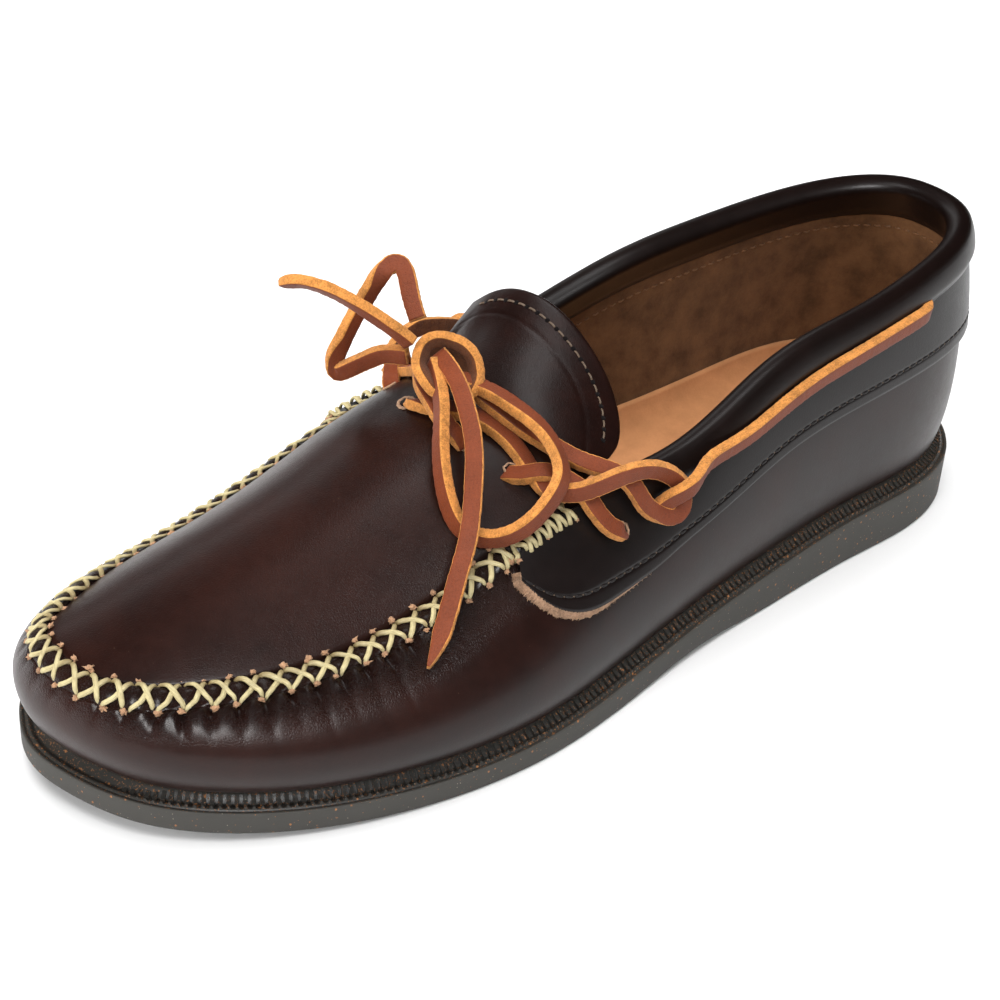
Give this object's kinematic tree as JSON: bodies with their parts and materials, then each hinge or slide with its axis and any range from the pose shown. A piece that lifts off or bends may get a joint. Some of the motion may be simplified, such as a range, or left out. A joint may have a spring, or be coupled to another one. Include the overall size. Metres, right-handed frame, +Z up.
{
  "type": "canoe moccasin",
  "caption": "Left low-cut canoe moccasin in dark leather with a hand-sewn apron seam, rawhide lace tied in a bow, quarter overlay, rolled collar and a flat rubber sole.",
  "frame": {"origin": "on the floor under the middle of the sole", "axes": "+X towards the heel, -X towards the toe, -Y towards the outer side of the left foot, +Z up"},
  "size_m": [0.2974, 0.1093, 0.0972],
  "materials": {
    "outsole": "matt dark grey rubber with fine cork flecks",
    "insole": "smooth tan leather sock lining",
    "upper": "waxed dark burgundy-brown pull-up leather, brown suede inside",
    "tongue": "waxed dark burgundy-brown leather",
    "quarter_overlay": "nearly black waxed leather with a raw tan edge",
    "collar_binding": "rolled dark waxed leather",
    "lace": "red-brown rawhide with orange cut edges"
  },
  "bodies": {
    "root": {"outsole": "outsole", "insole": "insole", "upper": "upper", "tongue": "tongue", "quarter_overlay": "quarter_overlay", "collar_binding": "collar_binding", "lace_bars": "lace", "lace_knot": "lace", "lace_loop_outer": "lace", "lace_loop_inner": "lace", "lace_end_outer": "lace", "lace_end_inner": "lace"}
  },
  "joints": []
}
